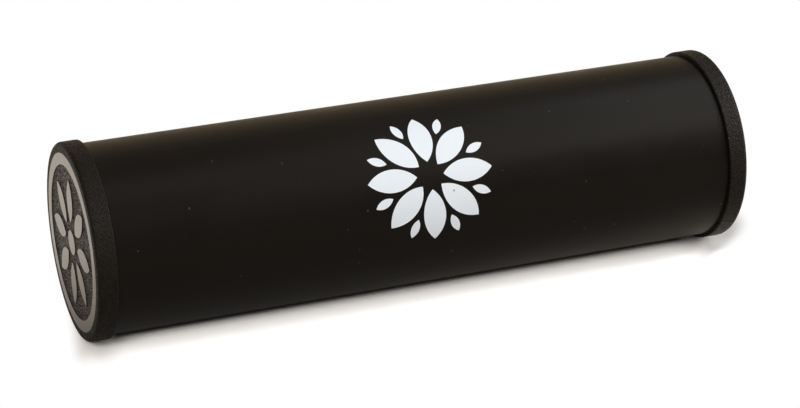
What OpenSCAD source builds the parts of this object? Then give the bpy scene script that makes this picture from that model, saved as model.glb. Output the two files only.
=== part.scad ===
// Ganza: a sealed tube shaker, lying along X with its axis through the origin.
// A thin metal tube is closed by two moulded end caps and holds loose steel shot,
// which lies in rows along the bottom of the bore.

/* [Tube] */
// Outside diameter of the tube
tube_d = 57.15; // [48:0.05:70]
// Length that the tube is cut to
tube_len = 203.2; // [150:0.1:300]
// Wall of the tube
tube_wall = 1.2; // [0.9:0.1:2]
// Chamfer on the edges of both cut ends
cut_chamfer = 0.25; // [0.1:0.05:0.4]

/* [End caps] */
// Thickness of the end wall at the rim
end_wall = 1.9; // [1.5:0.1:3]
// How far the lip stands out from the tube
lip_wall = 1.2; // [1:0.1:2.5]
// Length of the lip along the tube, from the end plane
lip_len = 6; // [5:0.1:10]
// Radius round the outer edge of the cap
edge_round = 1.3; // [0.5:0.1:1.5]
// Radius on the free edge of the lip
lip_round = 0.3; // [0.1:0.05:0.4]
// Clearance of the socket round the tube
socket_gap = 0.05; // [0.02:0.01:0.1]

/* [Plugs] */
// Depth that the plug reaches into the bore
plug_len = 9; // [6:0.5:14]
// Wall of the plug
plug_wall = 1.6; // [1.2:0.1:2.5]
// Space between the plug and the bore, which the crush ribs bridge
plug_gap = 0.35; // [0.2:0.05:0.5]
// Length of the plug's tapered nose
nose_len = 1.5; // [1:0.1:2.5]
// Number of crush ribs round the plug
rib_count = 12; // [6:1:20]
// Radius of one half-round crush rib
rib_r = 0.6; // [0.5:0.05:0.8]
// Clearance left over a crush rib
rib_gap = 0.03; // [0.02:0.01:0.05]

/* [Face] */
// Depth of the grained ground, which leaves the rim and the rosette standing
relief = 0.2; // [0.1:0.05:0.5]
// Diameter of the grained ground
ground_d = 46.4; // [40:0.1:52]
// Number of petals in the rosette
petal_count = 8; // [5:1:9]
// Length of one petal
petal_len = 13.6; // [8:0.1:14]
// Width of one petal
petal_w = 6; // [3:0.1:6.5]
// Distance from the centre to the root of a petal
petal_root = 6.4; // [6:0.1:8]
// Diameter of the round boss at the centre
eye_d = 7.5; // [3:0.1:9]

/* [Shot] */
// Diameter of one ball
shot_d = 4.5; // [3.5:0.1:5.5]
// Space between neighbouring balls of a row
ball_gap = 0.1; // [0.05:0.05:0.5]
// Running clearance between rows, and from the balls to the bore and plugs
lane_gap = 0.3; // [0.2:0.05:0.5]

/* [Hidden] */
$fn = 96;
ball_fn = 32;

// Cuts and fused roots run this far past the faces that they meet
overrun = 0.2;

tube_r = tube_d / 2;
bore_r = tube_r - tube_wall;
cap_r = tube_r + lip_wall;
plug_r = bore_r - plug_gap;
// The caps' rims are the end planes, and the tube butts on both end walls
half_len = tube_len / 2 + end_wall;

// Each row is a lane of the bore: its balls stay at one angle about the tube's axis
lane_r = bore_r - lane_gap - shot_d / 2;
lane_step = 2 * asin((shot_d + lane_gap) / (2 * lane_r));
lane_len = tube_len - 2 * (plug_len + lane_gap);
ball_pitch = shot_d + ball_gap;
// The keel row fills its lane, and the rows beside it hold these shares of its count
keel_count = floor((lane_len + ball_gap) / ball_pitch);
row_shares = [1, 0.8, 0.55, 0.3];

// Turns a shape that is built up along Z so that it lies along +X
module along_x() {
    rotate([0, 90, 0]) children();
}

module tube() {
    color("#1d1b19")
    along_x()
    translate([0, 0, -tube_len / 2])
    rotate_extrude()
    polygon([
        [bore_r + cut_chamfer, 0],
        [tube_r - cut_chamfer, 0],
        [tube_r, cut_chamfer],
        [tube_r, tube_len - cut_chamfer],
        [tube_r - cut_chamfer, tube_len],
        [bore_r + cut_chamfer, tube_len],
        [bore_r, tube_len - cut_chamfer],
        [bore_r, cut_chamfer]
    ]);
}

// Outline of the cap's cup, radius against depth from the end plane
module cup_outline() {
    difference() {
        union() {
            square([cap_r - edge_round, lip_len]);
            translate([0, edge_round]) {
                square([cap_r, lip_len - lip_round - edge_round]);
                square([cap_r - lip_round, lip_len - edge_round]);
            }
            translate([cap_r - edge_round, edge_round])
                circle(r = edge_round);
            translate([cap_r - lip_round, lip_len - lip_round])
                circle(r = lip_round);
        }
        // the socket and the hollow behind the end wall, open towards the tube
        translate([0, end_wall])
            square([tube_r + socket_gap, lip_len + overrun - end_wall]);
    }
}

// Outline of the plug: a thin skirt that goes into the bore, with a tapered nose
module plug_outline() {
    polygon([
        [plug_r - plug_wall, end_wall - overrun],
        [plug_r, end_wall - overrun],
        [plug_r, end_wall + plug_len - nose_len],
        [plug_r - plug_wall / 2, end_wall + plug_len],
        [plug_r - plug_wall, end_wall + plug_len]
    ]);
}

// One pointed petal, the lens between two equal arcs
module petal() {
    arc_r = (petal_len * petal_len + petal_w * petal_w) / (4 * petal_w);
    translate([petal_root + petal_len / 2, 0])
    intersection() {
        translate([0, arc_r - petal_w / 2]) circle(r = arc_r);
        translate([0, petal_w / 2 - arc_r]) circle(r = arc_r);
    }
}

module rosette_outline() {
    circle(d = eye_d);
    for (i = [0 : petal_count - 1])
        rotate(i * 360 / petal_count) petal();
}

// What is taken off the face to leave the rosette standing inside the rim
module ground() {
    translate([0, 0, -overrun])
    linear_extrude(relief + overrun)
    difference() {
        circle(d = ground_d);
        rosette_outline();
    }
}

// Half-round ribs that are crushed as the plug is pressed home
module crush_ribs() {
    for (i = [0 : rib_count - 1])
        rotate(i * 360 / rib_count)
        translate([bore_r - rib_gap - rib_r, 0, end_wall - overrun])
            cylinder(r = rib_r, h = plug_len - nose_len + overrun);
}

// The moulding, with its end plane at zero and its depth along +Z
module end_cap() {
    color("#23211f")
    difference() {
        union() {
            rotate_extrude() cup_outline();
            rotate_extrude() plug_outline();
            crush_ribs();
        }
        ground();
    }
}

module left_cap() {
    translate([-half_len, 0, 0]) along_x() end_cap();
}

module right_cap() {
    rotate([0, 0, 180]) left_cap();
}

// One row of balls, counted in lanes from the lowest line of the bore towards +Y
module shot_row(lane) {
    count = floor(keel_count * row_shares[abs(lane)]);
    color("#b9bbbd")
    rotate([lane * lane_step, 0, 0])
    for (i = [0 : count - 1])
        translate([(i - (count - 1) / 2) * ball_pitch, 0, -lane_r])
            sphere(d = shot_d, $fn = ball_fn);
}

tube();
left_cap();
right_cap();
shot_row(0);  // shot_keel
shot_row(-1);  // shot_front_1
shot_row(-2);  // shot_front_2
shot_row(-3);  // shot_front_3
shot_row(1);  // shot_back_1
shot_row(2);  // shot_back_2
shot_row(3);  // shot_back_3
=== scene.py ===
# %% [markdown]
# # Dressing a ganza for a catalogue photograph
#
# A ganza is a sealed tube with loose steel shot inside. This one is a matt black metal tube, closed by two
# moulded black caps, lying on a white table. The construction model gives every size and place. These
# cells rebuild what the eye sees of it, at the fineness a close photograph needs: crisp rims, a grained
# moulding, a smooth raised face and a printed ornament.
#
# Almost everything on it is black, so the colours hardly matter and the reflections do all the work.

# %% Load the frame
import math

import bmesh
import bpy
from mathutils import Matrix, Vector


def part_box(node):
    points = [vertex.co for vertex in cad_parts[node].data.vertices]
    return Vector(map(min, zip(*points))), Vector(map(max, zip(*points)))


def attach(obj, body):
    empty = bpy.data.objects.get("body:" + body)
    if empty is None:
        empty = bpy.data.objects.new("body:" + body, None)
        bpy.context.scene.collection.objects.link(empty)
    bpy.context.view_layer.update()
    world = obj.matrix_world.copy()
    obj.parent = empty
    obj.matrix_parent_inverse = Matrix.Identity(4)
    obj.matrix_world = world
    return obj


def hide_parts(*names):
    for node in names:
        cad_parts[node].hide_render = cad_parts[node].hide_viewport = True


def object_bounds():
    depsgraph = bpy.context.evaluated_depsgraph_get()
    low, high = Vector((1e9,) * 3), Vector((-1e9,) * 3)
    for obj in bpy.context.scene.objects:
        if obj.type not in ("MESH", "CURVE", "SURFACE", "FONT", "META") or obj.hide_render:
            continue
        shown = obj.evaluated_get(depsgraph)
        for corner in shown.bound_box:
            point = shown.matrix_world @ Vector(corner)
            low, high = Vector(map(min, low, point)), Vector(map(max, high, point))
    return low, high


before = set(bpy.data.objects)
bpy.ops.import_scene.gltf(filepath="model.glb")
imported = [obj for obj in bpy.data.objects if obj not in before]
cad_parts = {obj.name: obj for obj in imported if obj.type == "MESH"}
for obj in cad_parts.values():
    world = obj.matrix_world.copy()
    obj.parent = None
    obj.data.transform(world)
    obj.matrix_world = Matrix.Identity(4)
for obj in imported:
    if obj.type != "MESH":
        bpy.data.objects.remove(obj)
cad_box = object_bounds()
MM = 0.001
print("pieces in the frame:", ", ".join(sorted(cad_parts)))

# %% [markdown]
# ## The camera comes first
#
# The picture was taken with a long lens from high on the left, so the tube hardly tapers and the left cap
# shows its face as a narrow ellipse. A camera turned about world Z and then tipped down is enough: there
# is no roll. It could be aimed with a Track To constraint, but plain angles say more about the picture.

# %% Camera
CAMERA_PLACE = (-267.1 * MM, -693.6 * MM, 336.8 * MM)
CAMERA_TURN = 21.04
CAMERA_DIP = 24.67
LENS_LENGTH = 120
SENSOR_WIDTH = 36

lens = bpy.data.cameras.new("catalogue_lens")
lens.lens = LENS_LENGTH
lens.sensor_width = SENSOR_WIDTH
camera = bpy.data.objects.new("catalogue_camera", lens)
camera.location = CAMERA_PLACE
camera.rotation_euler = (math.radians(90 - CAMERA_DIP), 0, math.radians(-CAMERA_TURN))
bpy.context.scene.collection.objects.link(camera)
bpy.context.scene.camera = camera
bpy.context.scene.view_settings.view_transform = "Standard"
print("camera stands", round(Vector(CAMERA_PLACE).length, 3), "m from the middle of the tube")

# %% [markdown]
# ## Sizes from the frame
#
# The outer sizes are read off the construction model, so the dressing fits it by itself. They could be
# typed in, but then a change to the model would leave the dressing behind. Only what a bounding box cannot
# say, such as a wall or a fillet, is written here in millimetres.

# %% Sizes
TUBE_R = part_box("tube")[1][2]
HALF_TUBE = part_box("tube")[1][0]
CAP_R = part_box("left_cap")[1][2]
HALF_LEN = -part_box("left_cap")[0][0]
END_WALL = HALF_LEN - HALF_TUBE
PLUG_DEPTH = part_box("left_cap")[1][0] + HALF_LEN

TUBE_WALL = 1.2 * MM
LIP_LEN = 6 * MM
SOCKET_GAP = 0.05 * MM
PLUG_GAP = 0.35 * MM
PLUG_WALL = 1.6 * MM
NOSE_LEN = 1.5 * MM
RELIEF = 0.2 * MM
GROUND_R = 23.2 * MM
RING_R = 26.7 * MM
BORE_R = TUBE_R - TUBE_WALL
PLUG_R = BORE_R - PLUG_GAP
print("tube", round(2 * TUBE_R / MM, 2), "mm across; whole length", round(2 * HALF_LEN / MM, 1), "mm")

# %% [markdown]
# ## Turned shapes
#
# The tube and the caps are bodies of revolution, so each starts as an outline in a plane through the axis
# and is spun a full turn. A Screw modifier would turn the outline too, but an operator's result can have
# its rims rounded straight away. `bmesh.ops.spin` with `use_merge` joins the last slice to the first, and
# merging doubles closes the poles. Each outline point is a pair: how far along the axis, and how far out.

# %% Spinning an outline
TURN_STEPS = 192
WELD = 0.002 * MM
AXIS = Vector((1, 0, 0))


def turned(outline, closed):
    """A bmesh made by spinning an outline of (along, out) points round the X axis."""
    bm = bmesh.new()
    points = [bm.verts.new((along, 0, out)) for along, out in outline]
    pairs = list(zip(points, points[1:])) + ([(points[-1], points[0])] if closed else [])
    edges = [bm.edges.new(pair) for pair in pairs]
    bmesh.ops.spin(bm, geom=points + edges, cent=(0, 0, 0), axis=AXIS, angle=math.tau,
                   steps=TURN_STEPS, use_merge=True)
    bmesh.ops.remove_doubles(bm, verts=bm.verts, dist=WELD)
    bmesh.ops.recalc_face_normals(bm, faces=bm.faces)
    return bm


def round_rim(bm, along, out, radius, segments):
    """Rounds the circular edge that lies at one place of the outline."""
    def on_rim(v):
        return abs(v.co.x - along) < WELD and abs(math.hypot(v.co.y, v.co.z) - out) < WELD
    rim = [e for e in bm.edges if all(on_rim(v) for v in e.verts)]
    bmesh.ops.bevel(bm, geom=rim, offset=radius, segments=segments, profile=0.5,
                    affect="EDGES", material=-1)


print("a full turn has", TURN_STEPS, "steps")

# %% [markdown]
# ## From a bmesh to a piece
#
# A smooth-shaded turned shape shows grey smears where a flat end meets a round. Each flat could be cut
# loose from its round, but two settings do it: edges sharper than a crease angle are marked sharp, and a
# Weighted Normal modifier lets the large flat faces keep their own direction. Then the piece is told which
# body it rides on and which finish it has.

# %% Finishing a piece
CREASE = 50


def finished(name, bm, material, body="shell"):
    """Turns a bmesh into a smooth-shaded piece that rides on a body."""
    mesh = bpy.data.meshes.new(name)
    bm.to_mesh(mesh)
    bm.free()
    mesh.shade_smooth()
    mesh.set_sharp_from_angle(angle=math.radians(CREASE))
    mesh.materials.append(material)
    piece = bpy.data.objects.new(name, mesh)
    bpy.context.scene.collection.objects.link(piece)
    weights = piece.modifiers.new("flat_faces_stay_flat", "WEIGHTED_NORMAL")
    weights.keep_sharp = True
    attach(piece, body)
    print(name, "has", len(mesh.polygons), "faces")
    return piece


print("edges sharper than", CREASE, "degrees stay sharp")

# %% [markdown]
# ## Node trees in a few words
#
# A material is a graph. It can be clicked together in the editor, but in a script each node takes four or
# five lines. These helpers add one node, set its options, and fill each named input with a value or with
# another node's socket, so that a material reads from its coordinates down to its shader.

# %% Adding nodes
def add(tree, kind, options=None, **inputs):
    """Adds a node; an input's name has underscores for spaces, and a number for an unnamed one."""
    made = tree.nodes.new(kind)
    for option, value in (options or {}).items():
        setattr(made, option, value)
    for name, value in inputs.items():
        key = int(name[1:]) if name[0] == "i" and name[1:].isdigit() else name.replace("_", " ")
        if isinstance(value, bpy.types.NodeSocket):
            tree.links.new(value, made.inputs[key])
        else:
            made.inputs[key].default_value = value
    return made


def maths(tree, operation, first, second=0.0, third=0.0):
    """One sum on plain numbers."""
    return add(tree, "ShaderNodeMath", {"operation": operation}, i0=first, i1=second, i2=third).outputs[0]


def vectors(tree, operation, first, second=(0, 0, 0), third=(0, 0, 0)):
    """One sum on directions."""
    return add(tree, "ShaderNodeVectorMath", {"operation": operation}, i0=first, i1=second,
               i2=third).outputs[0]


def ramp(tree, value, low, high, to_low=0.0, to_high=1.0):
    """Maps a value smoothly from one range to another."""
    made = add(tree, "ShaderNodeMapRange", {"interpolation_type": "SMOOTHSTEP"}, Value=value,
               From_Min=low, From_Max=high, To_Min=to_low, To_Max=to_high)
    return made.outputs[0]


def blend(tree, share, first, second):
    """Mixes two colours."""
    made = tree.nodes.new("ShaderNodeMix")
    made.data_type = "RGBA"
    for key, value in (("Factor_Float", share), ("A_Color", first), ("B_Color", second)):
        socket = next(s for s in made.inputs if s.identifier == key)
        if isinstance(value, bpy.types.NodeSocket):
            tree.links.new(value, socket)
        else:
            socket.default_value = value
    return next(s for s in made.outputs if s.identifier == "Result_Color")


print("node helpers:", ", ".join(f.__name__ for f in (add, maths, vectors, ramp, blend)))


# %% Groups and materials
def group_of(name, inputs, outputs):
    """An empty node group with named inputs and float outputs, and its two end nodes."""
    tree = bpy.data.node_groups.new(name, "ShaderNodeTree")
    for label, kind, value in inputs:
        socket = tree.interface.new_socket(label, in_out="INPUT", socket_type=kind)
        if value is not None:
            socket.default_value = value
    for label in outputs:
        tree.interface.new_socket(label, in_out="OUTPUT", socket_type="NodeSocketFloat")
    return tree, tree.nodes.new("NodeGroupInput"), tree.nodes.new("NodeGroupOutput")


def use(tree, group, **inputs):
    """Places a node group in a material."""
    return add(tree, "ShaderNodeGroup", {"node_tree": group}, **inputs)


def new_material(name):
    """A material with only its Principled shader, and the position on the piece."""
    made = bpy.data.materials.new(name)
    made.use_nodes = True
    tree = made.node_tree
    shader = tree.nodes["Principled BSDF"]
    place = tree.nodes.new("ShaderNodeTexCoord").outputs["Object"]
    return made, tree, shader, place


print("material helpers:", ", ".join(f.__name__ for f in (group_of, use, new_material)))

# %% [markdown]
# ## Grain, dust and smudges
#
# * The caps are moulded in a spark-eroded tool, which leaves a pebbled grain about half a millimetre
#   across. A noise alone looks like cloth, and rounded Voronoi cells alone look like printed dots, so the
#   two are added.
# * Black things show every speck of dust, and it lies on the coat, the caps and the ink alike. Specks could
#   be scattered as tiny pieces, but they are flat to the eye. A Voronoi texture has one point in each cell,
#   and a random number for the cell decides whether a speck lies there.
# * Handling leaves broad, faint smudges where the coat is a little smoother. A slow noise makes them.
#
# Each effect is a node group. It only puts out a height or a mask, and the material decides what that
# does to its colour, its roughness or its bumps. Textures count in features per metre, so a scale of 1000
# draws one every millimetre.

# %% Grain group
POSITION = ("Position", "NodeSocketVector", None)
PEBBLES_PER_M = 1900.0
CELL_HEIGHT = 0.6

grain_group, ends, out = group_of(
    "moulded_grain", [POSITION, ("Pebbles", "NodeSocketFloat", PEBBLES_PER_M)], ["Height"])
pebbles = add(grain_group, "ShaderNodeTexNoise", None, Vector=ends.outputs["Position"],
              Scale=ends.outputs["Pebbles"], Detail=1.5, Roughness=0.55)
cells = add(grain_group, "ShaderNodeTexVoronoi", {"feature": "SMOOTH_F1"},
            Vector=ends.outputs["Position"], Scale=ends.outputs["Pebbles"], Smoothness=0.6)
height = maths(grain_group, "MULTIPLY_ADD", cells.outputs["Distance"], CELL_HEIGHT, pebbles.outputs["Fac"])
grain_group.links.new(height, out.inputs["Height"])
print("pebbles are", round(1 / PEBBLES_PER_M / MM, 2), "mm across")

# %% Dust group
SPECKS_PER_M = 300.0
SPECK_LEAST = 0.05
SPECK_RANGE = 0.06
SPECK_EDGE = 0.015

dust_group, ends, out = group_of(
    "dust_specks", [POSITION, ("Spread", "NodeSocketFloat", SPECKS_PER_M),
                    ("Rarity", "NodeSocketFloat", 0.9)], ["Speck"])
spots = add(dust_group, "ShaderNodeTexVoronoi", {"feature": "F1"},
            Vector=ends.outputs["Position"], Scale=ends.outputs["Spread"])
chance = add(dust_group, "ShaderNodeSeparateColor", None, Color=spots.outputs["Color"])
is_there = maths(dust_group, "GREATER_THAN", chance.outputs["Red"], ends.outputs["Rarity"])
reach = maths(dust_group, "MULTIPLY_ADD", chance.outputs["Green"], SPECK_RANGE, SPECK_LEAST)
near = maths(dust_group, "SUBTRACT", reach, spots.outputs["Distance"])
core = ramp(dust_group, near, 0.0, SPECK_EDGE)
dust_group.links.new(maths(dust_group, "MULTIPLY", core, is_there), out.inputs["Speck"])
print("specks reach", round(SPECK_LEAST / SPECKS_PER_M / MM, 2), "mm from their middle, and up to",
      round((SPECK_LEAST + SPECK_RANGE) / SPECKS_PER_M / MM, 2), "mm")

# %% Smudge group
SMUDGES_PER_M = 28.0
SMUDGE_EDGE = (0.4, 0.7)

smudge_group, ends, out = group_of("handling_smudges", [POSITION], ["Smudge"])
broad = add(smudge_group, "ShaderNodeTexNoise", None, Vector=ends.outputs["Position"],
            Scale=SMUDGES_PER_M, Detail=3.0, Roughness=0.6, Distortion=0.6)
smudge_group.links.new(ramp(smudge_group, broad.outputs["Fac"], *SMUDGE_EDGE), out.inputs["Smudge"])
print("effects:", [g.name for g in bpy.data.node_groups])

# %% [markdown]
# ## The tube's coat
#
# The tube is sprayed with a satin black that is very slightly warm. It sends back little light head on and
# a soft sheen at a glancing angle. A second glossy shader could add the sheen, but the Principled shader
# already gives it, with a low specular level and a middling roughness. Under the sheen the coat has the
# faint orange peel of any sprayed paint. Dust and smudges keep it from looking like a hole in the picture.

# %% Tube coat material
COAT_BLACK = (0.005, 0.0039, 0.0029, 1)
COAT_DUSTY = (0.045, 0.041, 0.037, 1)
COAT_RARITY = 0.7
COAT_ROUGH = 0.38
COAT_SMUDGED = 0.34
PEEL_PER_M = 900.0
PEEL_DEPTH = 0.02 * MM
COAT_SPECULAR = 0.2
WARM_SHEEN = (1, 0.9, 0.8, 1)

tube_coat, tree, shader, place = new_material("tube_coat")
speck = use(tree, dust_group, Position=place, Spread=SPECKS_PER_M, Rarity=COAT_RARITY).outputs["Speck"]
smudge = use(tree, smudge_group, Position=place).outputs["Smudge"]
tree.links.new(blend(tree, speck, COAT_BLACK, COAT_DUSTY), shader.inputs["Base Color"])
tree.links.new(ramp(tree, smudge, 0.0, 1.0, COAT_ROUGH, COAT_SMUDGED), shader.inputs["Roughness"])
orange_peel = add(tree, "ShaderNodeTexNoise", None, Vector=place, Scale=PEEL_PER_M, Detail=2.0)
skin = add(tree, "ShaderNodeBump", None, Strength=0.25, Distance=PEEL_DEPTH,
           Height=orange_peel.outputs["Fac"])
tree.links.new(skin.outputs["Normal"], shader.inputs["Normal"])
shader.inputs["Specular IOR Level"].default_value = COAT_SPECULAR
shader.inputs["Specular Tint"].default_value = WARM_SHEEN
print("the coat's roughness runs from", COAT_SMUDGED, "to", COAT_ROUGH)

# %% [markdown]
# ## The caps' plastic
#
# The moulding is grained everywhere except on the ring and the rosette, which are polished in the tool.
# They could be faces with a material of their own. But they are the only surfaces that reach the end plane
# inside the ring's outer edge, so their place tells them apart, and one material serves the whole cap.

# %% Where the cap is polished and where it is grained
BLEND_W = 0.1 * MM
FACE_EDGE = (HALF_LEN - 0.5 * RELIEF, HALF_LEN - 0.2 * RELIEF)
SIDE_GRAIN = 0.3

cap_plastic, tree, shader, place = new_material("cap_plastic")
parts = add(tree, "ShaderNodeSeparateXYZ", None, Vector=place)
along = maths(tree, "ABSOLUTE", parts.outputs["X"])
radius = maths(tree, "SQRT", maths(tree, "MULTIPLY_ADD", parts.outputs["Y"], parts.outputs["Y"],
                                   maths(tree, "MULTIPLY", parts.outputs["Z"], parts.outputs["Z"])))
on_face = ramp(tree, along, *FACE_EDGE)
in_ring = ramp(tree, radius, RING_R - BLEND_W, RING_R + BLEND_W, 1.0, 0.0)
polished = maths(tree, "MULTIPLY", on_face, in_ring)
grained = maths(tree, "SUBTRACT", 1.0, polished)
drawn = ramp(tree, radius, GROUND_R, RING_R, 1.0, SIDE_GRAIN)
on_ground = maths(tree, "MULTIPLY", grained, ramp(tree, radius, GROUND_R, RING_R, 1.0, 0.0))
print("polished beyond", round(FACE_EDGE[1] / MM, 2), "mm from the middle, inside the ring's outer edge")

# %% [markdown]
# ### The grain in the plastic
#
# Outside the ring the grain is shallow, because a mould's sides have to let the cap slide out. On the sunk
# ground it is deep, and there a Bump node is not enough. It compares heights a pixel apart, so seen edge on,
# the ground would come out smooth. The pebbles could be modelled, but there are thousands of them. Adding a
# noise to the normal itself makes each one lean its own way, and the ground sparkles from any distance.

# %% The cap's relief
GRAIN_DEPTH = 0.8 * MM
GROUND_SPARKLE = 6.0
MID_GREY = (0.5, 0.5, 0.5)

grain = use(tree, grain_group, Position=place, Pebbles=PEBBLES_PER_M).outputs["Height"]
bumps = add(tree, "ShaderNodeBump", None, Strength=maths(tree, "MULTIPLY", grained, drawn),
            Distance=GRAIN_DEPTH, Height=grain)
facets = add(tree, "ShaderNodeTexNoise", None, Vector=place, Scale=PEBBLES_PER_M, Detail=0.0)
lean = vectors(tree, "SUBTRACT", facets.outputs["Color"], MID_GREY)
leaning = vectors(tree, "MULTIPLY_ADD", lean, maths(tree, "MULTIPLY", on_ground, GROUND_SPARKLE),
                  bumps.outputs["Normal"])
tree.links.new(vectors(tree, "NORMALIZE", leaning), shader.inputs["Normal"])
print("the grain is", SIDE_GRAIN, "times as deep outside the ring as on the ground")

# %% [markdown]
# ### The colour and gloss of the plastic
#
# The tops of the pebbles are smoother than the pits between them, and paler: the pale colour is a painted
# glint, light caught by the tops, most of all on the ground. It could be painted on from an image, but the
# grain's own height already tells a top from a pit. Where the cap is polished, a clear coat adds the tighter
# gloss of bare plastic.

# %% The cap's colour and gloss
PLASTIC_BLACK = (0.0015, 0.0012, 0.0009, 1)
# Painted glint: the paler colour that the pebble tops get where light would catch them.
PLASTIC_GLINT = (0.075, 0.063, 0.049, 1)
PLASTIC_DUSTY = (0.06, 0.055, 0.05, 1)
PLASTIC_RARITY = 0.93
GLINT_TOPS = (0.7, 0.9)
SIDE_FADE_POWER = 2.0
SMOOTH_TOPS = (0.65, 1.0)
PIT_ROUGH = 0.4
TOP_ROUGH = 0.18
SIDE_ROUGHER = 0.25
POLISHED_ROUGH = 0.2
PLASTIC_SPECULAR = 0.25
GLOSS_IOR = 1.6
GLOSS_ROUGH = 0.12

# Painted glint on the pebble tops, strongest on the ground and fading out towards the sides.
glinting_tops = maths(tree, "MULTIPLY", maths(tree, "MULTIPLY", ramp(tree, grain, *GLINT_TOPS), grained),
             maths(tree, "POWER", drawn, SIDE_FADE_POWER))
speck = use(tree, dust_group, Position=place, Spread=SPECKS_PER_M, Rarity=PLASTIC_RARITY).outputs["Speck"]
plastic_with_glints = blend(tree, glinting_tops, PLASTIC_BLACK, PLASTIC_GLINT)
tree.links.new(blend(tree, speck, plastic_with_glints, PLASTIC_DUSTY), shader.inputs["Base Color"])
matt = ramp(tree, radius, GROUND_R, RING_R, 0.0, SIDE_ROUGHER)
pitted = maths(tree, "ADD", ramp(tree, grain, *SMOOTH_TOPS, PIT_ROUGH, TOP_ROUGH), matt)
smoother = maths(tree, "SUBTRACT", POLISHED_ROUGH, pitted)
tree.links.new(maths(tree, "MULTIPLY_ADD", smoother, polished, pitted), shader.inputs["Roughness"])
tree.links.new(polished, shader.inputs["Coat Weight"])
shader.inputs["Coat IOR"].default_value = GLOSS_IOR
shader.inputs["Coat Roughness"].default_value = GLOSS_ROUGH
shader.inputs["Specular IOR Level"].default_value = PLASTIC_SPECULAR
shader.inputs["Specular Tint"].default_value = WARM_SHEEN
print("the plastic's tree has", len(tree.nodes), "nodes")

# %% [markdown]
# ## The tube
#
# The tube is a plain length cut square. Two cylinders and a boolean would make it, but spinning a long thin
# rectangle beside the axis gives both walls and both ends at once. The cut ends sit inside the caps, so a
# small round on each of their edges is all the detail they need.

# %% Tube piece
CUT_ROUND = 0.25 * MM
CUT_STEPS = 3

bm = turned([(-HALF_TUBE, BORE_R), (-HALF_TUBE, TUBE_R), (HALF_TUBE, TUBE_R), (HALF_TUBE, BORE_R)], True)
for end in (-HALF_TUBE, HALF_TUBE):
    for wall in (BORE_R, TUBE_R):
        round_rim(bm, end, wall, CUT_ROUND, CUT_STEPS)
tube = finished("tube_shell", bm, tube_coat)
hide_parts("tube")

# %% [markdown]
# ## The caps
#
# Each cap is a cup. Outside there is a lip over the tube, and inside a plug in its bore, with the tube's
# end between them. It could be put together from rings and a disc, but then there would be hidden walls
# inside it. The whole outline, front and back, is spun as one skin instead, so the moulding is a closed
# shell. The fillets are bevels on the rims that need them, large on the outer corner, which catches the
# light all the way round, and a hair's breadth on the edge of the ring.

# %% Cap outline
EDGE_ROUND = 1.3 * MM
EDGE_STEPS = 8
LIP_ROUND = 0.3 * MM
LIP_STEPS = 4
RELIEF_ROUND = 0.08 * MM
RELIEF_STEPS = 2


def cap_outline():
    """The cup in section, from the axis on its face to the axis behind its end wall."""
    return [
        (RELIEF, 0), (RELIEF, GROUND_R), (0, GROUND_R), (0, CAP_R),
        (LIP_LEN, CAP_R), (LIP_LEN, TUBE_R + SOCKET_GAP),
        (END_WALL, TUBE_R + SOCKET_GAP), (END_WALL, PLUG_R),
        (PLUG_DEPTH - NOSE_LEN, PLUG_R), (PLUG_DEPTH, PLUG_R - PLUG_WALL / 2),
        (PLUG_DEPTH, PLUG_R - PLUG_WALL), (END_WALL, PLUG_R - PLUG_WALL), (END_WALL, 0),
    ]


def cap_shell():
    """The cup without its rosette, with its end plane at zero and its depth along +X."""
    bm = turned(cap_outline(), False)
    round_rim(bm, 0, CAP_R, EDGE_ROUND, EDGE_STEPS)
    round_rim(bm, LIP_LEN, CAP_R, LIP_ROUND, LIP_STEPS)
    round_rim(bm, 0, GROUND_R, RELIEF_ROUND, RELIEF_STEPS)
    return bm


print("the cap's section has", len(cap_outline()), "points")

# %% [markdown]
# ## The rosette on each cap
#
# Inside the ring stands a plain rosette of pointed petals, level with the ring. It could be bump alone, but
# then it would be lost in the bare mesh. A petal is a small grid whose sides are drawn in to a lens, so that
# its two ends close to points, and then it is thickened. A boolean union makes it one skin with the cap, as
# it is one moulding in life.

# %% Petals
PETAL_COUNT = 8
PETAL_LEN = 13.6 * MM
PETAL_W = 6 * MM
PETAL_ROOT = 6.4 * MM
PETAL_CELLS = (24, 6)
EYE_R = 3.75 * MM
EYE_STEPS = 64
SINK = 0.2 * MM


def lens_sheet(length, width, cells):
    """A flat grid in the YZ plane, drawn in along its sides to a lens that points along +Z."""
    bm = bmesh.new()
    bmesh.ops.create_grid(bm, x_segments=cells[0], y_segments=cells[1], size=1)
    arc_r = (length ** 2 + width ** 2) / (4 * width)
    for v in bm.verts:
        reach = v.co.x * length / 2
        half_width = math.sqrt(arc_r ** 2 - reach ** 2) - (arc_r - width / 2)
        v.co = (0, v.co.y * max(half_width, 0), reach)
    bmesh.ops.remove_doubles(bm, verts=bm.verts, dist=WELD)
    return bm


def thickened(bm, depth):
    """Gives a flat sheet in the YZ plane a depth along +X and closes it."""
    made = bmesh.ops.extrude_face_region(bm, geom=bm.faces[:])["geom"]
    bmesh.ops.translate(bm, verts=[v for v in made if isinstance(v, bmesh.types.BMVert)], vec=(depth, 0, 0))
    bmesh.ops.recalc_face_normals(bm, faces=bm.faces)
    return bm


def merged_copies(bm, sheet, matrices):
    """Adds a copy of a small bmesh for each matrix."""
    spare = bpy.data.meshes.new("spare")
    sheet.to_mesh(spare)
    for matrix in matrices:
        placed = spare.copy()
        placed.transform(matrix)
        bm.from_mesh(placed)
        bpy.data.meshes.remove(placed)
    bpy.data.meshes.remove(spare)


def petals_round(bm, petal, count, centre, shift=0):
    """Adds a ring of petals whose middles lie at one distance from the centre."""
    out_along = Matrix.Translation((0, 0, centre))
    merged_copies(bm, petal, [Matrix.Rotation((i + shift) * math.tau / count, 4, "X") @ out_along
                              for i in range(count)])


print("a petal is", round(PETAL_LEN / MM, 1), "mm long and", round(PETAL_W / MM, 1), "mm wide")


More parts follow.
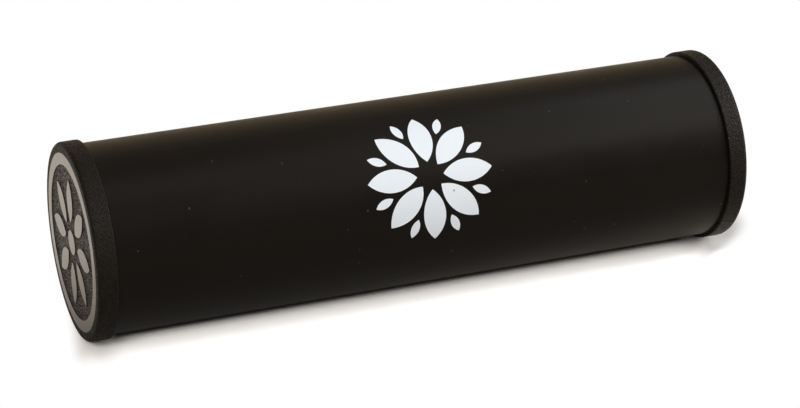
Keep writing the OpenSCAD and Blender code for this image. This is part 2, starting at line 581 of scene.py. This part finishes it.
# %% Rosette
def rosette_solid():
    """Petals and the boss in their midst, from the end plane to a little under the ground."""
    bm = bmesh.new()
    petal = thickened(lens_sheet(PETAL_LEN, PETAL_W, PETAL_CELLS), RELIEF + SINK)
    petals_round(bm, petal, PETAL_COUNT, PETAL_ROOT + PETAL_LEN / 2)
    petal.free()
    boss = bmesh.new()
    bmesh.ops.create_circle(boss, cap_ends=True, segments=EYE_STEPS, radius=EYE_R,
                            matrix=Matrix.Rotation(math.radians(90), 4, "Y"))
    merged_copies(bm, thickened(boss, RELIEF + SINK), [Matrix.Identity(4)])
    boss.free()
    return bm


def united(name, bm, extra):
    """The union of two closed bmeshes, as a bmesh."""
    pieces = []
    for label, source in ((name, bm), (name + "_extra", extra)):
        mesh = bpy.data.meshes.new(label)
        source.to_mesh(mesh)
        source.free()
        pieces.append(bpy.data.objects.new(label, mesh))
        bpy.context.scene.collection.objects.link(pieces[-1])
    join = pieces[0].modifiers.new("one_moulding", "BOOLEAN")
    join.operation = "UNION"
    join.solver = "EXACT"
    join.object = pieces[1]
    result = bmesh.new()
    result.from_object(pieces[0], bpy.context.evaluated_depsgraph_get())
    for piece in pieces:
        bpy.data.meshes.remove(piece.data)
    return result


print("the rosette stands", round(RELIEF / MM, 1), "mm above the ground")

# %% [markdown]
# ## Both caps from one mould
#
# The two caps are the same moulding, so one shape serves for both, and the right one is turned half round
# about the vertical. A linked copy with a turned object would be shorter, but a finished piece's object
# stays at the origin, so each cap is placed in its own mesh.

# %% Cap pieces
for side, turn in (("left", 0), ("right", 180)):
    bm = united(side + "_mould", cap_shell(), rosette_solid())
    bmesh.ops.translate(bm, verts=bm.verts, vec=(-HALF_LEN, 0, 0))
    bmesh.ops.rotate(bm, verts=bm.verts, cent=(0, 0, 0),
                     matrix=Matrix.Rotation(math.radians(turn), 3, "Z"))
    cap = finished(side + "_cap_moulding", bm, cap_plastic)
    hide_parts(side + "_cap")

# %% [markdown]
# ## The printed ornament
#
# A screen-printed ornament in white ink sits in the middle of the tube, turned towards the viewer. It could
# be a pattern in the coat's material, but real ink has an edge, and a thin raised film keeps it sharp at
# any distance. Each shape is drawn flat, then wrapped: its height becomes an angle round the tube. Under a
# close lens the ink shows the faint weave of the screen it was pressed through.

# %% Ink material
INK_WHITE = (0.86, 0.91, 0.965, 1)
INK_DUSTY = (0.45, 0.44, 0.42, 1)
INK_RARITY = 0.97
SCREEN_PER_M = 2500.0
SCREEN_DEPTH = 0.01 * MM
NOISE_BAND = (0.3, 0.7)
INK_ROUGH = (0.4, 0.5)

ink, tree, shader, place = new_material("print_ink")
speck = use(tree, dust_group, Position=place, Spread=SPECKS_PER_M, Rarity=INK_RARITY).outputs["Speck"]
tree.links.new(blend(tree, speck, INK_WHITE, INK_DUSTY), shader.inputs["Base Color"])
screen = add(tree, "ShaderNodeTexNoise", None, Vector=place, Scale=SCREEN_PER_M, Detail=2.0)
weave = add(tree, "ShaderNodeBump", None, Strength=0.2, Distance=SCREEN_DEPTH, Height=screen.outputs["Fac"])
tree.links.new(ramp(tree, screen.outputs["Fac"], *NOISE_BAND, *INK_ROUGH), shader.inputs["Roughness"])
tree.links.new(weave.outputs["Normal"], shader.inputs["Normal"])
print("the ink's roughness runs from", INK_ROUGH[0], "to", INK_ROUGH[1])

# %% Ornament piece
PRINT_ANGLE = 32
PRINT_R = 19.7 * MM
INK_FILM = 0.03 * MM
PRINT_COUNT = 8
PRINT_CELLS = (24, 8)
LONG_PETAL = (15.5 * MM, 7 * MM)
SHORT_PETAL = (6 * MM, 2.6 * MM)


def wrapped(bm, radius, angle):
    """Bends a flat sheet in the YZ plane, seen along +X, round the tube at an angle above -Y."""
    for v in bm.verts:
        turn = math.radians(angle) + v.co.z / radius
        out = radius + v.co.x
        v.co = (v.co.y, -out * math.cos(turn), out * math.sin(turn))
    return bm


bm = bmesh.new()
for (length, width), shift in ((LONG_PETAL, 0), (SHORT_PETAL, 0.5)):
    petal = thickened(lens_sheet(length, width, PRINT_CELLS), INK_FILM)
    petals_round(bm, petal, PRINT_COUNT, PRINT_R - length / 2, shift)
    petal.free()
wrapped(bm, TUBE_R, PRINT_ANGLE)
bmesh.ops.recalc_face_normals(bm, faces=bm.faces)
finished("tube_print", bm, ink)

# %% [markdown]
# ## The shot
#
# The balls are sealed in, so nobody sees them until the tube is opened. New and finer balls would not show
# either, so they keep the construction model's shape, and only get a bright steel with the faint mottling
# that balls have from tumbling together.

# %% Shot material
STEEL_DARK = (0.5, 0.51, 0.52, 1)
STEEL_LIGHT = (0.64, 0.65, 0.66, 1)
MOTTLES_PER_M = 1500.0
STEEL_ROUGH = (0.14, 0.28)

steel, tree, shader, place = new_material("tumbled_steel")
mottle = add(tree, "ShaderNodeTexNoise", None, Vector=place, Scale=MOTTLES_PER_M, Detail=3.0).outputs["Fac"]
tree.links.new(blend(tree, mottle, STEEL_DARK, STEEL_LIGHT), shader.inputs["Base Color"])
tree.links.new(ramp(tree, mottle, *NOISE_BAND, *STEEL_ROUGH), shader.inputs["Roughness"])
shader.inputs["Metallic"].default_value = 1.0
rows = [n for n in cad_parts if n.startswith("shot_")]
for name in rows:
    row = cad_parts[name]
    row.data.materials.clear()
    row.data.materials.append(steel)
print("rows of shot in steel:", len(rows))

# %% [markdown]
# ## The sweep
#
# A catalogue cut-out has a white ground that still holds a soft contact shadow. The ground is a sweep, a
# white table that curves up into a wall behind the tube. A white world with a shadow catcher would be
# simpler. But a satin black tube shows whatever stands round it, so the paper has two sets of colours.
#
# The tube and the caps see the first set. White paper lies behind them, warmer towards the wall, whose glow
# runs along the tube's upper edge. In front the paper is painted grey, a painted shade that the tube's lower
# half reflects and that keeps it dark. Its back edge comes to a blunt point, so the dark slants away towards
# both ends.

# %% What the tube sees of the paper
PAPER_WHITE = (0.94, 0.87, 0.78, 1)
PAPER_FAR = (0.96, 0.79, 0.56, 1)
# Painted shade: the grey in front stands in for the shaded table that the tube's lower half reflects.
PAPER_PAINTED_SHADE = (0.4, 0.38, 0.36, 1)
FAR_EDGE = (0.3, 1.0)
PAINTED_SHADE_POINT = -60 * MM
PAINTED_SHADE_EDGE = -12 * MM
PAINTED_SHADE_FADE = 50 * MM
PAINTED_SHADE_SLANT = 0.25

paper = bpy.data.materials.new("paper_white")
paper.use_nodes = True
tree = paper.node_tree
tree.nodes.clear()
path = tree.nodes.new("ShaderNodeLightPath")
spot = add(tree, "ShaderNodeSeparateXYZ", None,
           Vector=tree.nodes.new("ShaderNodeTexCoord").outputs["Object"]).outputs
from_point = maths(tree, "ABSOLUTE", maths(tree, "SUBTRACT", spot["X"], PAINTED_SHADE_POINT))
across = maths(tree, "MULTIPLY_ADD", from_point, PAINTED_SHADE_SLANT, spot["Y"])
past_painted_shade = ramp(tree, across, PAINTED_SHADE_EDGE, PAINTED_SHADE_EDGE + PAINTED_SHADE_FADE)
white_to_far = blend(tree, ramp(tree, spot["Y"], *FAR_EDGE), PAPER_WHITE, PAPER_FAR)
lit_paper = blend(tree, past_painted_shade, PAPER_PAINTED_SHADE, white_to_far)
# The grey card is painted shade, seen only in reflections.
print("the grey card's point lies", round(-PAINTED_SHADE_EDGE / MM), "mm in front of the axis")

# %% [markdown]
# Only the camera sees the second set. A photographer exposes until the paper burns out to white and no more
# than the contact shadow is left. Brighter paint near the tube does that without more light on the object.
# It is brightest along the middle of the tube, darker at the ends, above all at the right one, and darkest
# in a core right under the tube, as the photographed shadow asks: the darker grades and the core are painted
# shade. Past the shadow's edge the paper is pure white. That edge is straight along the sides, a little
# aslant past the left end, and curved round the right end, where the shadow reaches further.

# %% What the camera sees of the paper
# Painted shade: the darker camera-only paint at the ends and in a core under the tube deepens the shadow
# there.
SEEN_MIDDLE = (2.32, 2.28, 2.26, 1)
SEEN_LEFT = (1.68, 1.65, 1.63, 1)
SEEN_RIGHT = (0.72, 0.7, 0.69, 1)
SEEN_PAINTED_SHADOW_CORE = (0.3, 0.28, 0.27, 1)
LEFT_GRADE = (-101 * MM, -92 * MM)
RIGHT_GRADE = (85 * MM, 103 * MM)
CORE_SIDE = (5.5 * MM, 8.5 * MM)
CORE_ENDS = (92 * MM, 96 * MM)

to_side = maths(tree, "ABSOLUTE", spot["Y"])
to_end = maths(tree, "ABSOLUTE", spot["X"])
seen = blend(tree, ramp(tree, spot["X"], *LEFT_GRADE), SEEN_LEFT, SEEN_MIDDLE)
seen = blend(tree, ramp(tree, spot["X"], *RIGHT_GRADE), seen, SEEN_RIGHT)
past_core = maths(tree, "MAXIMUM", ramp(tree, to_side, *CORE_SIDE), ramp(tree, to_end, *CORE_ENDS))
seen = blend(tree, past_core, SEEN_PAINTED_SHADOW_CORE, seen)
colour = blend(tree, path.outputs["Is Camera Ray"], lit_paper, seen)
paint = add(tree, "ShaderNodeBsdfDiffuse", None, Color=colour)
print("the core of the shadow is", round(2 * CORE_SIDE[0] / MM), "mm wide")

# %% Where the paper burns out
BURNT_SIDE = (15.5 * MM, 25 * MM)
BURNT_LEFT = (101.4 * MM, 106.6 * MM)
BURNT_RIGHT = (114.5 * MM, 122.5 * MM)
LEFT_SLANT = 0.2
RIGHT_RIDGE = 4 * MM
RIGHT_CURVE = 36.0

past_side = ramp(tree, to_side, *BURNT_SIDE)
to_left = maths(tree, "MULTIPLY_ADD", spot["X"], -1.0, maths(tree, "MULTIPLY", spot["Y"], LEFT_SLANT))
from_ridge = maths(tree, "SUBTRACT", spot["Y"], RIGHT_RIDGE)
bow = maths(tree, "MULTIPLY", from_ridge, from_ridge)
to_right = maths(tree, "MULTIPLY_ADD", bow, RIGHT_CURVE, spot["X"])
past_end = maths(tree, "MAXIMUM", ramp(tree, to_left, *BURNT_LEFT), ramp(tree, to_right, *BURNT_RIGHT))
burnt_out = maths(tree, "MULTIPLY", path.outputs["Is Camera Ray"],
                  maths(tree, "MINIMUM", maths(tree, "ADD", past_side, past_end), 1.0))
white = add(tree, "ShaderNodeEmission", None, Color=(1, 1, 1, 1), Strength=1.0)
both = add(tree, "ShaderNodeMixShader", None, i0=burnt_out, i1=paint.outputs[0], i2=white.outputs[0])
add(tree, "ShaderNodeOutputMaterial", None, Surface=both.outputs[0])
print("the paper's tree has", len(tree.nodes), "nodes")

# %% [markdown]
# ### The paper itself
#
# The paper is a few metres wide, so that its edges stay out of every view. Its profile could be drawn as a
# curve and given a width, but the operator that turned the tube makes the bend as well. The back edge of a
# flat sheet is spun a quarter turn, and the last edge is then drawn straight up for the wall.

# %% Sweep piece
SWEEP_WIDTH = 6.0
SWEEP_FRONT = 3.0
SWEEP_BACK = 1.3
SWEEP_BEND = 0.5
SWEEP_HEIGHT = 1.2
BEND_STEPS = 24
TABLE = cad_box[0][2]

bm = bmesh.new()
bmesh.ops.create_grid(bm, x_segments=1, y_segments=1, size=1)
for v in bm.verts:
    v.co = (v.co.x * SWEEP_WIDTH / 2, SWEEP_BACK if v.co.y > 0 else -SWEEP_FRONT, TABLE)
back_edge = [e for e in bm.edges if all(v.co.y > 0 for v in e.verts)]
bent = bmesh.ops.spin(bm, geom=back_edge + list(back_edge[0].verts), axis=AXIS, angle=math.radians(90),
                      steps=BEND_STEPS, cent=(0, SWEEP_BACK, TABLE + SWEEP_BEND))["geom_last"]
bent_edges = [e for e in bent if isinstance(e, bmesh.types.BMEdge)]
wall = bmesh.ops.extrude_edge_only(bm, edges=bent_edges)["geom"]
bmesh.ops.translate(bm, verts=[v for v in wall if isinstance(v, bmesh.types.BMVert)],
                    vec=(0, 0, SWEEP_HEIGHT))
bmesh.ops.recalc_face_normals(bm, faces=bm.faces)
mesh = bpy.data.meshes.new("sweep")
bm.to_mesh(mesh)
bm.free()
mesh.shade_smooth()
mesh.materials.append(paper)
sweep = bpy.data.objects.new("sweep", mesh)
bpy.context.scene.collection.objects.link(sweep)
print("sweep top at", round(max(v.co.z for v in mesh.vertices), 2), "m")

# %% [markdown]
# ## The light
#
# Soft light from all round would show the tube's shape only weakly. Spheres and spots would draw small hot
# spots on the satin coat. Large rectangular boxes draw broad soft bands instead, and each box has one task.
#
# * The key box stands high in front on the left. It lights the left cap's face, the print and the table,
#   and its shadow falls behind the tube, away from the viewer.
# * The overhead box is cool. It hangs past the right end and faces the table. Its reflection is the grey
#   band along the upper front, which fades out towards the left.
# * The right box stands further out on the right. It lights the right cap's lip and the tube's far edge.
# * The front and top boxes are weak, and only lift what the others leave too dark.
#
# Where the camera looks past the paper it sees a white room, and everything else sees a dim one.

# %% Room
ROOM_LEVEL = 0.24
ROOM_COLOUR = (1, 0.99, 0.98, 1)

world = bpy.data.worlds.new("studio")
bpy.context.scene.world = world
world.use_nodes = True
tree = world.node_tree
tree.nodes.clear()
path = tree.nodes.new("ShaderNodeLightPath")
straight_on = maths(tree, "MAXIMUM", path.outputs["Is Camera Ray"], path.outputs["Is Transmission Ray"])
level = ramp(tree, straight_on, 0.0, 1.0, ROOM_LEVEL, 1.0)
sky = add(tree, "ShaderNodeBackground", None, Color=ROOM_COLOUR, Strength=level)
add(tree, "ShaderNodeOutputWorld", None, Surface=sky.outputs[0])
print("the room's level is", ROOM_LEVEL)


# %% Boxes of light
def softbox(name, place, aim, size, power, colour):
    """A rectangular lamp that looks at a point."""
    lamp = bpy.data.lights.new(name, "AREA")
    lamp.shape = "RECTANGLE"
    lamp.size, lamp.size_y = size
    lamp.energy = power
    lamp.color = colour
    holder = bpy.data.objects.new(name, lamp)
    holder.location = place
    holder.rotation_euler = (Vector(aim) - Vector(place)).to_track_quat("-Z", "Y").to_euler()
    bpy.context.scene.collection.objects.link(holder)
    print(name, "gives", power, "W")


KEY_COLOUR = (1, 0.97, 0.93)
FILL_COLOUR = (1, 0.97, 0.94)
SKY_COLOUR = (0.88, 0.94, 1)
RIGHT_AIM = (0.1, 0, 0)

softbox("key_box", place=(-0.78, -1.12, 0.9), aim=(0, 0, 0), size=(0.5, 0.42), power=8.8,
        colour=KEY_COLOUR)
softbox("overhead_box", place=(0.6, -0.22, 0.7), aim=(0.6, -0.22, 0), size=(0.52, 1.12), power=3.2,
        colour=SKY_COLOUR)
softbox("front_box", place=(1.3, -1.0, 0.6), aim=RIGHT_AIM, size=(0.6, 0.5), power=2.2,
        colour=FILL_COLOUR)
softbox("right_box", place=(1.2, -0.3, 0.6), aim=RIGHT_AIM, size=(0.5, 0.5), power=9.5,
        colour=FILL_COLOUR)
softbox("top_box", place=(0.1, -0.3, 1.3), aim=(0.1, -0.3, 0), size=(0.7, 0.7), power=0.8,
        colour=FILL_COLOUR)
